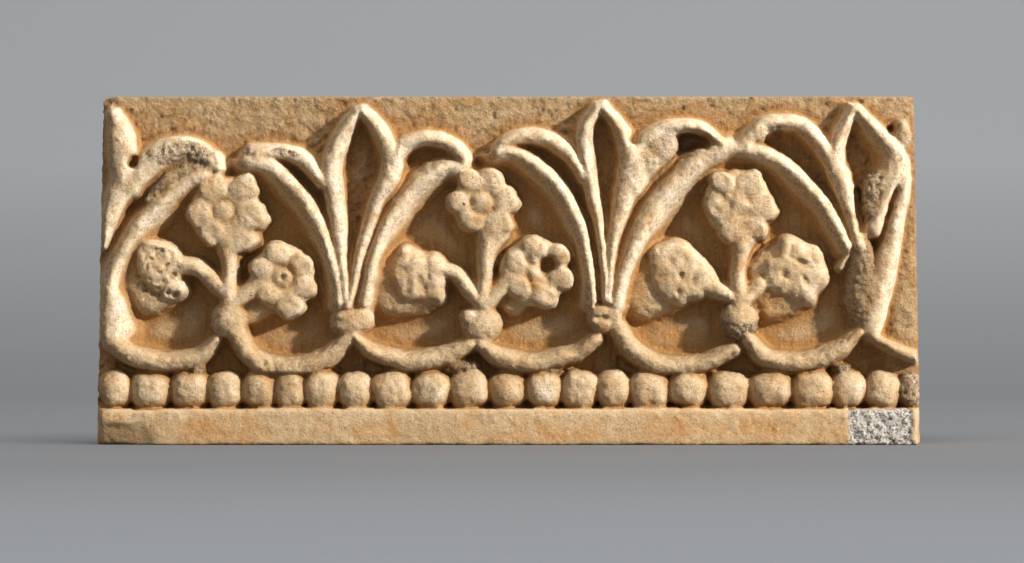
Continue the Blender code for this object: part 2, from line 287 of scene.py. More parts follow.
# The palmettes. Each rib is a half-round band of the same stucco, high at its crest and steep towards
# the hollow of its leaf. The ribs that spring across to form the arches slope gently towards them.
LEFT_PALMETTE = {
    "leaf": [(-316, 264, 3), (-312, 253, 7), (-309, 236, 10), (-308, 210, 9), (-315, 194, 7),
             (-326, 160, 2.5)],
    "side": [(-232, 222, 3), (-243, 230, 6), (-260, 236, 8), (-277, 232, 10), (-290, 222, 10),
             (-302, 206, 6)],
    "arch": [(-243, 217, 5), (-267, 204, 5), (-292, 180, 5), (-310, 154, 5), (-319, 128, 5),
             (-318, 112, 8), (-317, 92, 10)],
}
SECOND_PALMETTE = {
    "left": [(-121, 267, 2.2), (-132, 251, 5), (-142, 226, 6.6), (-141, 202, 6), (-136, 168, 5),
             (-130, 111, 2)],
    "right": [(-117, 268, 2.6), (-104, 253, 5), (-94, 230, 7), (-96, 211, 8), (-106, 193, 5),
              (-119, 152, 3.5), (-128, 111, 2)],
    "left_side": [(-205, 234, 6), (-191, 235, 5), (-175, 233, 5), (-160, 225, 5), (-149, 210, 4)],
    "right_side": [(-93, 230, 6), (-82, 241, 5), (-66, 246, 4.5), (-50, 242, 4.5), (-37, 232, 4.5),
                   (-36, 225, 3.5)],
    "left_arch": [(-209, 228, 7), (-196, 226, 7), (-178, 212, 5), (-160, 191, 4.5), (-147, 166, 4),
                  (-139, 138, 3.2), (-135, 114, 3)],
    "right_arch": [(-41, 222, 3.6), (-55, 220, 4.4), (-78, 204, 4.4), (-96, 180, 4), (-108, 150, 3.5),
                   (-116, 114, 3)],
}
THIRD_PALMETTE = {
    "left": [(72, 270, 2.4), (61, 250, 5.2), (63, 226, 4.5), (69, 192, 3.5), (75, 159, 2.2), (78, 114, 2)],
    "right": [(76, 271, 2.4), (89, 255, 4), (97, 236, 7.5), (101, 216, 12), (93, 197, 8), (85, 167, 4.5),
              (81, 136, 2), (81, 114, 1.5)],
    "left_side": [(-9, 236, 3), (0, 244, 4), (14, 247, 4.4), (32, 245, 4.4), (48, 234, 4.4), (60, 214, 3)],
    "right_side": [(97, 226, 6), (105, 238, 7.5), (122, 250, 7), (138, 256, 3.4), (156, 253, 2.8),
                   (172, 241, 3)],
    "left_arch": [(-9, 234, 3), (4, 234, 3.6), (24, 223, 4), (43, 203, 4), (56, 178, 4), (64, 148, 2.6),
                  (68, 114, 2)],
    "right_arch": [(176, 238, 5.6), (156, 228, 7), (134, 210, 7.2), (114, 186, 7), (100, 158, 5.6),
                   (91, 134, 4.6), (87, 112, 4)],
}
RIGHT_PALMETTE = {
    "left": [(277, 268, 2.8), (266, 248, 4.6), (262, 226, 6.8), (268, 209, 7.7), (275, 186, 5.5),
             (282, 160, 5)],
    "right": [(280, 268, 3), (294, 254, 3.4), (307, 239, 6), (312, 224, 9), (309, 211, 10),
              (301, 191, 5.5), (293, 172, 5.6)],
    "outer": [(318, 215, 3.2), (315, 198, 5), (310, 174, 5.6), (305, 152, 8), (299, 128, 9.6),
              (291, 92, 7)],
    "trunk": [(283, 167, 5), (286, 146, 9), (290, 116, 12), (290, 92, 7)],
    "left_side": [(189, 241, 5.6), (203, 254, 5.5), (221, 258, 4.8), (236, 255, 5), (250, 241, 5.5),
                  (259, 226, 5)],
    "left_arch": [(181, 238, 5), (200, 235, 4.6), (222, 224, 4), (243, 204, 3.8), (260, 183, 4),
                  (272, 160, 3.2)],
}
SPRINGING = [
    (LEFT_PALMETTE["arch"], SECOND_PALMETTE["left_arch"]),
    (SECOND_PALMETTE["right_arch"], THIRD_PALMETTE["left_arch"]),
    (THIRD_PALMETTE["right_arch"], RIGHT_PALMETTE["left_arch"]),
]
FEET = [(-126, 99, 18, 11), (77, 102, 14, 11)]
BEAD_TOP = 58.0


def inside(outline):
    """Which places of the face lie within a closed outline."""
    found = np.zeros(face_x.shape, bool)
    for (x0, z0), (x1, z1) in zip(outline, outline[1:] + outline[:1]):
        if z0 != z1:
            crosses = (z0 > face_z) != (z1 > face_z)
            found ^= crosses & (face_x < x0 + (face_z - z0) * (x1 - x0) / (z1 - z0))
    return found


strip = np.clip((face_x - END_STRIP + 8) / 14, 0, 1) * np.clip((262 - face_z) / 34, 0.2, 1)
height += (END_GROUND - UPPER_GROUND) * strip * strip * (3 - 2 * strip)
for left, right in SPRINGING:
    outline = [station[:2] for station in left[::-1]] + [station[:2] for station in right]
    outline += [(outline[-1][0], BEAD_TOP), (outline[0][0], BEAD_TOP)]
    arch = inside(outline)
    height[arch] = (0.5 * uneven(face, 26, 6))[arch]
    grit[arch] = 0.5

rib(LEFT_PALMETTE["leaf"], STEEP, MIDDLE, crown=0.25)
rib(LEFT_PALMETTE["side"], MIDDLE, MIDDLE)
rib(LEFT_PALMETTE["arch"], GENTLE, BROAD)
rib([(-238, 222, 6), (-250, 222, 9), (-266, 216, 8), (-280, 206, 5), (-290, 196, 2)], STEEP, STEEP,
    top=RELIEF - 3, surface=(1.1, 0.5))
RUNS = {"right_arch": (GENTLE, BROAD), "left_arch": (STEEP, GENTLE), "trunk": (STEEP, GENTLE)}
for palmette in (SECOND_PALMETTE, THIRD_PALMETTE, RIGHT_PALMETTE):
    for name, stations in palmette.items():
        left_run, right_run = RUNS.get(name, (STEEP, STEEP))
        if name == "trunk":
            rib(stations, left_run, right_run, top=RELIEF - 2, surface=(1.0, 0.2))
        elif palmette is RIGHT_PALMETTE and name == "right":
            rib(stations, STEEP, GENTLE)
        else:
            rib(stations, left_run, right_run)
slab([(100, 243), (135, 258), (136, 248), (132, 232), (118, 218), (102, 202), (91, 195), (91, 232)],
     RELIEF - 1, STEEP, surface=(0.8, 0.8))
slab([(287, 214), (304, 222), (306, 205), (301, 185), (292, 170), (286, 172), (285, 195)],
     RELIEF - 2, STEEP, surface=CRUMBLED)
for x, z, half_width, half_height in FEET:
    mound(x - 2, z - 1, half_width - 2, half_height + 2, square=2.3, flat=3, surface=SOILED)
    mound(x + 7, z + 2, half_width * 0.6, half_height, top=RELIEF - 1, square=2.5, surface=SOILED)

# Worn places of the leaves: tips knocked round, pockets, and faces that have crumbled to pits
mound(-235, 228, 8, 9, top=RELIEF - 0.5, flat=2.6, surface=RUBBED)
hollow(-262, 231, 28, 12, 1.2, turn=-0.15, rough=1.5)
hollow(-253, 234, 16, 8, 2.4, turn=-0.3, rough=1.9)
hollow(-301, 227, 4, 5, 14)
mound(-205, 233, 10, 7, turn=-0.2, surface=CRUMBLED)
hollow(-179, 234, 12, 3.5, 2.0, turn=-0.25, rough=1.6)
hollow(100, 246, 5, 5, 9)
hollow(120, 240, 17, 12, 1.4, rough=0.9)
hollow(149, 243, 15, 7, 13, turn=-0.2, edge=6)
mound(178, 238, 10, 6, top=RELIEF - 0.5, surface=(0.8, 0.6))
mound(200, 250, 7.5, 10, surface=(0.8, 0.6))
hollow(213, 252, 8, 4, 4, turn=-0.2, rough=1.4)
mound(317, 247, 7, 15, top=23, blend=5, surface=(0.8, 0.4))
hollow(309, 252, 5, 4, 8)
hollow(281, 190, 4, 22, 12, turn=0.1)
hollow(307, 192, 2.2, 17, 8, turn=-0.26)
rib([(276, 157, 1.6), (266, 142, 1.3)], STEEP, STEEP, top=RELIEF - 5, surface=SOILED)
hollow(-138, 101, 6, 5, 2.6)
pad(-136, 103, 2.5, top=RELIEF - 0.8)
hollow(74, 113, 6, 2, 4)
hollow(73, 102, 6.5, 2.2, 4)

# The sprays. Three rosettes to an arch, each with petals round a boss, stand on stems that part from
# a round knob. Behind each is a lump of stucco that slopes down towards the knob.
ROSETTES = [
    {"boss": (-228, 187, 9.5), "body": (-226, 172), "petals": [
        (-236, 206, 11), (-212, 206, 10.5), (-205, 183, 11), (-215, 166, 12), (-236, 171, 10.5),
        (-247, 186, 10.5)]},
    {"boss": (-181, 134, 9), "body": (-206, 108), "petals": [
        (-185, 153, 9.5), (-167, 144, 9.5), (-164, 126, 9.5), (-175, 112, 10.5), (-192, 121, 9.5),
        (-197, 140, 9.5)]},
    {"boss": (-21, 194, 9.5), "body": (-18, 178), "petals": [
        (-31, 211, 9.5), (-14, 212, 9.5), (-3, 195, 10.5), (-8, 178, 10.5), (-29, 179, 9.5),
        (-40, 194, 8.5)]},
    {"boss": (20, 138, 7), "body": (4, 116), "petals": [
        (20, 158, 9), (40, 151, 9), (42, 133, 9.5), (28, 119, 10), (10, 126, 9.5), (7, 146, 9.5)]},
    {"boss": (184, 194, 8.5), "body": (186, 176), "petals": [
        (172, 210, 9.5), (194, 209, 11), (204, 189, 11), (197, 174, 10), (181, 173, 11), (168, 189, 9.5)]},
]
# Four rosettes are worn down to lumps, given here by the outline of the slope and of the face
WORN_ROSETTES = [
    ([(-302, 158), (-287, 164), (-263, 148), (-258, 119), (-275, 111), (-288, 104), (-299, 107), (-308, 122),
      (-310, 129), (-306, 145)],
     [(-297, 163), (-287, 165), (-272, 160), (-264, 152), (-261, 143), (-264, 136), (-258, 125), (-260, 119),
      (-274, 116), (-286, 124), (-295, 132), (-298, 146)]),
    ([(-93, 156), (-109, 140), (-111, 124), (-104, 106), (-87, 102), (-55, 111), (-50, 132), (-79, 156)],
     [(-87, 158), (-80, 157), (-67, 151), (-58, 152), (-50, 145), (-49, 137), (-52, 127), (-53, 114),
      (-64, 117), (-86, 115), (-89, 126), (-95, 135), (-94, 143)]),
    ([(110, 154), (99, 138), (94, 124), (91, 114), (102, 99), (133, 107), (153, 119), (145, 156)],
     [(113, 157), (127, 161), (139, 163), (150, 153), (163, 139), (170, 125), (160, 124), (156, 118),
      (144, 118), (139, 113), (132, 113), (125, 117), (116, 126), (114, 142)]),
    ([(218, 165), (192, 146), (190, 137), (196, 110), (208, 98), (233, 107), (245, 118), (240, 155)],
     [(219, 166), (228, 166), (238, 158), (247, 158), (251, 153), (252, 145), (256, 135), (251, 127),
      (245, 121), (245, 115), (239, 113), (230, 117), (217, 121), (205, 124), (207, 142), (208, 149),
      (217, 149)]),
]
STEMS = [
    [(-227, 166, 9), (-224, 148, 5.6), (-224, 128, 5.2), (-224, 110, 7)],
    [(-263, 143, 6), (-247, 140, 5), (-230, 124, 6)],
    [(-220, 114, 5.6), (-200, 128, 7)],
    [(-13, 170, 12), (-17, 154, 7), (-19, 132, 4.6), (-20, 111, 6.4)],
    [(-55, 140, 4.8), (-42, 136, 4.8), (-24, 115, 5.2)],
    [(-16, 114, 4.8), (0, 132, 7)],
    [(189, 166, 9.6), (186, 150, 5), (184, 134, 5), (186, 116, 8)],
    [(158, 128, 5.6), (176, 119, 4.8)],
    [(192, 119, 5.6), (202, 128, 6.4)],
]
KNOBS = [(-224, 100, 16), (-22, 96, 17), (186, 102, 16)]

hands = np.random.default_rng(12)
for rosette in ROSETTES:
    x, z, radius = rosette["boss"]
    reach = max(math.hypot(px - x, pz - z) for px, pz, size in rosette["petals"])
    body_x, body_z = rosette["body"]
    rib([(x, z, reach * 1.1), (body_x, body_z, reach * 0.45)], MIDDLE, MIDDLE, top=RELIEF * 0.64, foot=8,
        surface=SOILED)
    mound(x, z, reach + 4, top=RELIEF - 2.2, flat=6, surface=PETAL)
    for petal_x, petal_z, size in rosette["petals"]:
        pad(petal_x, petal_z, size - 0.5, top=RELIEF - hands.uniform(0.0, 1.2), crown=0.3)
        hollow(petal_x + hands.uniform(-6, 6), petal_z + hands.uniform(-6, 6), hands.uniform(2.5, 6),
               hands.uniform(1.5, 4), hands.uniform(0.5, 1.4), turn=hands.uniform(0, 3), edge=2)
    part = window(x - 20, z - 20, x + 20, z + 20)
    far = np.hypot(hand_x[part] - x, hand_z[part] - z)
    height[part] -= 1.8 * np.exp(-((far - radius) / 1.6) ** 2)
    height[part] = np.where(far < radius, np.minimum(height[part], RELIEF - 2.4), height[part])
    pad(x, z, radius - 2.0, top=RELIEF - 0.3, crown=1.4, run=6)
for slope, worn_face in WORN_ROSETTES:
    slab(slope, RELIEF * 0.74, MIDDLE, crown=7, blend=8, surface=SOILED)
    slab(worn_face, RELIEF, STEEP)
    (low_x, low_z), (high_x, high_z) = np.min(worn_face, axis=0), np.max(worn_face, axis=0)
    for dent in range(18):
        hollow(hands.uniform(low_x, high_x), hands.uniform(low_z, high_z), hands.uniform(2, 7),
               hands.uniform(1.5, 3), hands.uniform(0.4, 1.6), turn=hands.uniform(0, 3), edge=2)
for stations in STEMS:
    rib(stations, STEEP, STEEP, top=RELIEF - 1, crown=0.5, surface=PETAL)
for x, z, radius in KNOBS:
    mound(x, z, radius, flat=3, blend=3)

# What the wear has left of them: eaten pits in the first spray, dents, a broken-out hole, a pricked boss
pad(183, 194, 11, top=RELIEF - 1.2, crown=0.6)
rib([(174, 200, 2), (181, 193, 3), (180, 182, 2)], STEEP, STEEP, top=RELIEF - 0.2, surface=PETAL)
rib([(183, 202, 2), (182, 195, 3), (193, 191, 2)], STEEP, STEEP, top=RELIEF - 0.2, surface=PETAL)
for pit in range(60):
    hollow(hands.uniform(-297, -262), hands.uniform(119, 158), hands.uniform(1.0, 2.8),
           hands.uniform(1.0, 2.2), hands.uniform(1.2, 3.0), rough=0.8)
for x, z, across, up, deep, turn in [
    (-181, 134, 2.6, 2.6, 3.0, 0), (-72, 133, 3, 6, 1.8, 0.3), (-81, 126, 3, 5, 1.6, -0.4),
    (-66, 142, 5, 2, 1.4, 0.5), (-85, 140, 4, 2, 1.3, -0.6), (-67, 124, 2, 4, 1.6, 0.2),
    (31, 144, 6.5, 7, 15, 0), (15, 148, 5, 1.8, 2.4, -0.9), (17, 128, 1.8, 6, 2.4, 0.2),
    (138, 136, 2.5, 2.5, 3, 0), (130, 146, 2, 4, 1.6, 0.3), (148, 132, 2, 5, 1.8, -0.4),
    (136, 122, 1.6, 4, 2.2, 0), (151, 144, 4, 1.8, 1.5, 0.5), (121, 135, 4, 1.8, 1.5, 0.2),
    (221, 137, 3, 4.5, 3, 0.5), (232, 147, 8, 2.2, 2.4, -0.5), (214, 125, 5, 1.8, 2, 0.2),
    (238, 131, 2, 6, 2, 0.5), (226, 157, 1.8, 4, 1.8, 0), (247, 145, 4, 1.6, 1.6, 0.2),
]:
    hollow(x, z, across, up, deep, turn=turn)
pad(-31, 102, 6, top=RELIEF, crown=0.6, run=5)
hollow(-224, 104, 9, 1.2, 1.0, turn=0.3)
mound(186, 101, 16, 19, top=RELIEF - 0.5, blend=3, surface=CRUMBLED)

# The scalloped stems below the sprays: half-round bands that hang from the feet and the knobs, their
# crests scratched across by wear.
SCALLOPS = [
    [(-317, 85, 11), (-302, 73, 8.6), (-275, 66, 7.7), (-250, 71, 7), (-234, 85, 2)],
    [(-218, 90, 9), (-208, 72, 7.7), (-188, 62, 9), (-166, 63, 9), (-145, 71, 8.6), (-129, 85, 6)],
    [(-124, 88, 3.5), (-109, 75, 5.6), (-80, 67, 8), (-52, 71, 8.2), (-31, 82, 5.3)],
    [(-23, 82, 5.2), (-6, 71, 8.5), (20, 66, 7.8), (50, 73, 6.2), (71, 86, 4.4)],
    [(88, 94, 9), (100, 76, 8.2), (122, 64, 8.2), (150, 64, 6.5), (182, 77, 4)],
    [(193, 85, 5.4), (207, 70, 7.5), (235, 66, 7.7), (263, 75, 6.8), (282, 91, 3)],
    [(291, 89, 3), (302, 82, 3.8), (316, 75, 5), (328, 71, 5.2)],
]
for stations in SCALLOPS:
    rib([(x, z - 1, half * 0.72) for x, z, half in stations], STEEP, STEEP, foot=2, surface=SOILED)
mound(68, 84, 4.5, 5, surface=PETAL)
hollow(53, 76, 4.5, 3, 2)
for x, z, across, up in [(-251, 60, 7, 5), (-39, 62, 17, 6), (35, 60, 8, 5), (268, 60, 7, 5)]:
    mound(x, z, across, up, top=20, blend=4, surface=CRUMBLED)
for tick in range(30):
    hollow(hands.uniform(-198, -162), hands.uniform(60, 66), 0.8, 3, 0.9, turn=hands.uniform(-0.5, 0.1))

# The bead row: bosses with flattened faces, cut one by one from a single band, in a groove above the
# fillet. The last stretch has crumbled.
GROOVE = 3.4
FILLET_TOP = 29.0
FIRST_BEAD = -327.6
BEAD_WIDTHS = [23, 31, 30, 26, 26, 23, 26, 26, 30, 30, 30, 30, 27, 27, 26, 30, 30, 31, 35, 31, 26, 27]
BEAD_GAP = 1.0
BROKEN_END = 17

row = face_z < BEAD_TOP
height[row] = np.where(face_z > BEAD_TOP - 2, np.minimum(height, 20.0), GROOVE)[row]
pale[row] = 0.2
left = FIRST_BEAD
for width in BEAD_WIDTHS:
    squareness, roundness = hands.uniform(2.4, 3.4), hands.uniform(2.5, 3.6)
    mound(
        left + width / 2 + hands.uniform(-0.5, 0.5), (FILLET_TOP + BEAD_TOP) / 2 + hands.uniform(-0.4, 0.8),
        width / 2 + 1.7, (BEAD_TOP - FILLET_TOP) / 2 + hands.uniform(0.6, 1.8),
        top=RELIEF - hands.uniform(0, 1.2), base=GROOVE, square=squareness, flat=roundness, blend=0.8,
        turn=hands.uniform(-0.25, 0.25), lean=hands.uniform(-0.07, 0.07, 2), surface=(0.5, 0.35),
    )
    left += width + BEAD_GAP
mound(
    left + BROKEN_END / 2, 44, BROKEN_END / 2 + 2, 14, top=22, base=GROOVE, square=3, flat=4,
    surface=CRUMBLED,
)

# The fillet: a plain band struck off flat along the foot of the frieze, its upper edge wavy.
wavy_top = FILLET_TOP + 0.8 * uneven(face, 20, 8) + 0.5 * uneven(face, 6, 9)
below = wavy_top - face_z
fillet = RELIEF - 0.5 + 0.3 * uneven(face, 30, 10) - 3.0 * np.exp(-np.maximum(below, 0) / 1.0)
height = np.where(below > 0, fillet, height)
grit[face_z < FILLET_TOP + 1] = 0.35
pale[face_z < FILLET_TOP + 1] = 0.3
chipped = np.clip((18 - face_z) / 18, 0, 1) * np.clip((-282 - face_x) / 40, 0, 1)
height -= 9 * chipped + 2 * np.clip(6 * chipped, 0, 1)
for x, turn in [(206, -0.5), (211, -0.35)]:
    hollow(x, 12, 1.1, 8, 1.2, turn=turn)

# The coarse, grey-white plaster of an old repair at the right end, about flush with the fillet
REPAIR = (297, 14.5, 25.5, 14.5)
repair_x, repair_z, repair_half, repair_tall = REPAIR
in_repair = np.maximum(np.abs(face_x - repair_x) / repair_half, np.abs(face_z - repair_z) / repair_tall)
in_repair = np.clip((1 - in_repair - 0.08 * uneven(face, 5, 31)) / 0.06, 0, 1)
grit[:] = grit * (1 - in_repair) + 1.7 * in_repair
height -= 0.8 * in_repair

# Wear. Arrises are rubbed round, leaves have crumbled in places, and crests are knocked down here and
# there. Nothing that is lost is put back.
half_width = (WIDTH - TOP_NARROWING * np.clip(face_z / HEIGHT, 0, 1)) / 2 - SIDE_DRAFT
edge_left = face_x + half_width + 0.5
edge_right = half_width + 0.5 - face_x
for inward, radius in ((face_z, 2.0), (HEIGHT - face_z, 1.2), (edge_left, 3.5), (edge_right, 1.6)):
    worn = radius * (1 + 0.5 * uneven(face, 14, 11))
    lost = np.clip(worn - inward, 0, worn)
    height -= worn - np.sqrt(np.maximum(worn ** 2 - lost ** 2, 0))
rubbed = 1 + uneven(face, 22, 13) + uneven(face, 9, 15) + 0.7 * uneven(face, 4.5, 16)
height -= 0.55 * rubbed * np.clip((height - 14) / 8, 0, 1) * (face_z > FILLET_TOP)

# Earth has stained the stucco orange in places: along the fillet, in channels and below the arches.
# A few beads, and a knuckle of the last trunk, are rubbed nearly white.
stain = np.zeros(face_x.shape)
for x, z, across, up in [
    (-250, 14, 24, 14), (133, 12, 14, 14), (194, 14, 18, 13), (265, 14, 9, 14), (30, 6, 60, 3),
    (-85, 200, 14, 24), (-92, 130, 10, 34), (-170, 150, 8, 24), (-265, 196, 18, 26), (98, 150, 12, 30),
    (300, 160, 8, 70), (-60, 250, 30, 8), (10, 228, 24, 6), (-230, 245, 26, 9), (150, 262, 40, 8),
    (-326, 60, 8, 40), (210, 108, 20, 8), (100, 112, 8, 16), (250, 245, 26, 10),
]:
    away = ((face_x - x) / across) ** 2 + ((face_z - z) / up) ** 2
    stain = np.maximum(stain, np.exp(-away) * (1 + 0.5 * uneven(face, 12, 17)))
stain = np.clip(stain, 0, 1) * np.where(face_z > 150, 0.6, 1.0)
for x, z, across, up, amount in [
    (27, 44, 12, 12, 1.6), (-63, 44, 30, 12, 0.8), (280, 104, 7, 5, 1.0), (-300, 40, 30, 12, 0.6),
    (317, 238, 2.5, 2.5, 2), (280, 44, 16, 12, 0.7),
]:
    away = ((face_x - x) / across) ** 2 + ((face_z - z) / up) ** 2
    pale = np.maximum(pale, amount * np.exp(-away))
pale = np.clip(pale, 0, 1)

# The carved sheet is closed behind, cut to the block's outline, and given an even skin of small faces.
bpy.ops.object.select_all(action="DESELECT")
bpy.ops.mesh.primitive_grid_add(x_subdivisions=columns, y_subdivisions=rows, size=1)
panel = bpy.context.object
panel.name = "carved_panel"
places = np.stack([face_x, FLOOR - np.minimum(height, RELIEF), face_z], axis=-1).reshape(-1, 3) * MM
panel.data.vertices.foreach_set("co", places.astype(np.float32).ravel())
bpy.ops.object.mode_set(mode="EDIT")
bpy.ops.mesh.select_mode(type="EDGE")
bpy.ops.mesh.select_all(action="DESELECT")
bpy.ops.mesh.select_non_manifold(extend=False)
bpy.ops.mesh.extrude_edges_move()
bpy.ops.object.mode_set(mode="OBJECT")
rim = [vertex for vertex in panel.data.vertices if vertex.select]
for vertex in rim:
    vertex.co.y = (BACK + SPARE) * MM
bpy.ops.object.mode_set(mode="EDIT")
bpy.ops.mesh.edge_face_add()
bpy.ops.mesh.select_all(action="SELECT")
bpy.ops.mesh.normals_make_consistent(inside=False)
bpy.ops.object.mode_set(mode="OBJECT")


def finished(piece, kind, **settings):
    """Applies one modifier to the piece."""
    modifier = piece.modifiers.new(kind.lower(), kind)
    for name, value in settings.items():
        setattr(modifier, name, value)
    bpy.ops.object.modifier_apply(modifier=modifier.name)


SKIN = 1.15
finished(panel, "BOOLEAN", operation="INTERSECT", object=block, solver="MANIFOLD")
bpy.data.objects.remove(block)
finished(panel, "REMESH", mode="VOXEL", voxel_size=SKIN * MM, adaptivity=0)
finished(panel, "SMOOTH", factor=0.5, iterations=1)

# Crumbled grain. Sand and reed ash in the plaster weather out as pits and crumbs, coarse on the ground
# and on broken places, fine on the struck fillet, and hardly there on the back.
def of_vertices(name):
    """The places or the outward directions of the panel's vertices, a row to each."""
    values = np.empty(len(panel.data.vertices) * 3, np.float32)
    panel.data.vertices.foreach_get(name, values)
    return values.reshape(-1, 3).astype(float)


points = of_vertices("co") / MM
outwards = of_vertices("normal")


def on_face(values, where):
    """Values of the sheet read at any places of the solid."""
    across = np.clip((where[:, 0] - column_x[0]) / SQUARE, 0, columns - 1.001)
    up = np.clip((where[:, 2] - row_z[0]) / SQUARE, 0, rows - 1.001)
    column, line = across.astype(int), up.astype(int)
    across, up = across - column, up - line
    lower = values[line, column] * (1 - across) + values[line, column + 1] * across
    upper = values[line + 1, column] * (1 - across) + values[line + 1, column + 1] * across
    return lower * (1 - up) + upper * up


def blurred(values, radius):
    """Box average of the sheet over a few millimetres, twice."""
    size = max(int(radius / SQUARE), 1)
    for axis in (0, 1, 0, 1):
        padded = np.pad(values, [(size, size) if side == axis else (0, 0) for side in (0, 1)], mode="edge")
        total = np.cumsum(padded, axis=axis)
        ahead = np.take(total, range(2 * size, total.shape[axis]), axis=axis)
        behind = np.take(total, range(0, total.shape[axis] - 2 * size), axis=axis)
        values = (ahead - behind) / (2 * size)
    return values


front = points[:, 1] < FLOOR + 6
local_grit = np.where(front, on_face(grit, points), 0.1)
coarse = uneven(points, 5.0, 21)
middling = uneven(points, 2.6, 22)
pits = np.maximum(uneven(points, 3.4, 23) - 0.35, 0)
shift = local_grit * (0.7 * coarse + 1.1 * middling - 1.8 * pits)
points += outwards * shift[:, None]
low, high = np.array(block_low) / MM, np.array(block_high) / MM
points = np.clip(points, low, high)
panel.data.vertices.foreach_set("co", (points * MM).astype(np.float32).ravel())

TRIANGLES = 190000
faces = sum(len(polygon.vertices) - 2 for polygon in panel.data.polygons)
finished(panel, "DECIMATE", ratio=TRIANGLES / faces)
bpy.ops.object.shade_smooth()

# Attributes for the colour: how high a place stands over its surroundings, how pale, stained or crumbled it
# is, how far it faces right towards the lamp, which sets painted highlight and painted shade, and where it
# is patched.
points = of_vertices("co") / MM
stand_out = np.clip((height - blurred(height, 9)) / 12 + 0.5, 0, 1)


def mark(name, values):
    layer = panel.data.attributes.new(name, "FLOAT", "POINT")
    layer.data.foreach_set("value", values.astype(np.float32))


carved = points[:, 1] < FLOOR + 4
mark("crest", np.where(carved, on_face(stand_out, points), 0.4))
mark("pale", np.where(carved, on_face(blurred(pale, 1.5), points), 0))
mark("repair", on_face(in_repair, points) * (points[:, 1] < CREST + 6))
# How far each place faces right, towards the lamp: the colour uses it for painted highlight and painted
# shade.
mark("painted_light_side", np.where(carved, 0.5 + 0.5 * of_vertices("normal")[:, 0], 0.5))
mark("stained", np.where(carved, on_face(stain, points), 0))
mark("crumbled", np.where(carved, on_face(grit, points), 0.5))

# Aged gypsum stucco: burnt gypsum with sand, carved damp and once buried. It is matt, buff to golden, rubbed
# pale on its crests, with painted highlight where the crests face the lamp and painted shade on their sides
# away from it, painted darker and warmer brown in the hollows as painted shade, with darker streaks up and
# down there, and speckled with dark pits.
stucco = bpy.data.materials.new("aged_gypsum_stucco")
stucco.use_nodes = True
tree = stucco.node_tree
shader = tree.nodes["Principled BSDF"]


def linear(colour):
    """An sRGB hex colour as linear values."""
    channels = [int(colour[at:at + 2], 16) / 255 for at in (1, 3, 5)]
    return [c / 12.92 if c <= 0.04045 else ((c + 0.055) / 1.055) ** 2.4 for c in channels] + [1.0]


def node(kind, links=(), **settings):
    """Adds a node, sets it, and links sockets of others to its own."""
    added = tree.nodes.new("ShaderNode" + kind)
    for name, value in settings.items():
        if name.startswith("in_"):
            added.inputs[int(name[3:])].default_value = value
        else:
            setattr(added, name, value)
    for source, target in links:
        tree.links.new(source, added.inputs[target])
    return added


where = node("TexCoord").outputs["Object"]


def grain(size, detail=3.0, rough=0.55, stretch=(1, 1, 1)):
    """Noise whose lumps are about a size in millimetres."""
    scaled = node("VectorMath", [(where, 0)], operation="MULTIPLY", in_1=stretch).outputs[0]
    return node("TexNoise", [(scaled, 0)], in_2=1000 / size, in_3=detail, in_4=rough).outputs["Fac"]


def between(value, low, high):
    """A value spread from 0 to 1 between two levels."""
    return node("MapRange", [(value, 0)], in_1=low, in_2=high, in_3=0.0, in_4=1.0).outputs[0]


def blend(amount, under, over):
    """One colour laid over another by an amount."""
    mixed = node("Mix", data_type="RGBA")
    tree.links.new(amount, mixed.inputs[0])
    for socket, colour in ((6, under), (7, over)):
        if isinstance(colour, str):
            mixed.inputs[socket].default_value = linear(colour)
        else:
            tree.links.new(colour, mixed.inputs[socket])
    return mixed.outputs[2]


def times(first, second):
    return node("Math", [(first, 0), (second, 1)], operation="MULTIPLY").outputs[0]


crest = node("Attribute", attribute_name="crest").outputs["Fac"]
paleness = node("Attribute", attribute_name="pale").outputs["Fac"]
repair = node("Attribute", attribute_name="repair").outputs["Fac"]
painted_light_side = node("Attribute", attribute_name="painted_light_side").outputs["Fac"]
stained = node("Attribute", attribute_name="stained").outputs["Fac"]
crumbled = node("Attribute", attribute_name="crumbled").outputs["Fac"]
# Pale rubbed crests, painted paler only on the sides that face the lamp as a painted highlight, with pinkish
# patches.
pale_crest_and_highlight = times(times(between(crest, 0.42, 0.72), paleness), between(painted_light_side, 0.22, 0.72))
pale_crest_and_highlight = times(pale_crest_and_highlight, between(grain(13), 0.25, 0.5))
patchy = between(grain(16, 2.0), 0.42, 0.62)
colour = blend(between(grain(55), 0.4, 0.62), "#A78A62", "#B2956E")
colour = blend(between(grain(24), 0.5, 0.7), colour, "#AA7E48")
# Painted shade: low places, the hollows and the feet of ribs, are painted darker and warmer brown. Darker
# streaks running up and down are laid in the same low places.
colour = blend(between(crest, 0.44, 0.24), colour, "#A07950")
colour = blend(between(crest, 0.28, 0.1), colour, "#A17642")
streaks = between(grain(3.5, stretch=(1, 1, 0.14)), 0.45, 0.72)
colour = blend(times(streaks, between(crest, 0.45, 0.3)), colour, "#8C663C")
colour = blend(times(stained, between(grain(6, 4.0, 0.7), 0.34, 0.56)), colour, "#A8763E")
colour = blend(pale_crest_and_highlight, colour, "#E0CEAE")
colour = blend(times(between(grain(9), 0.5, 0.62), pale_crest_and_highlight), colour, "#DEC8B4")
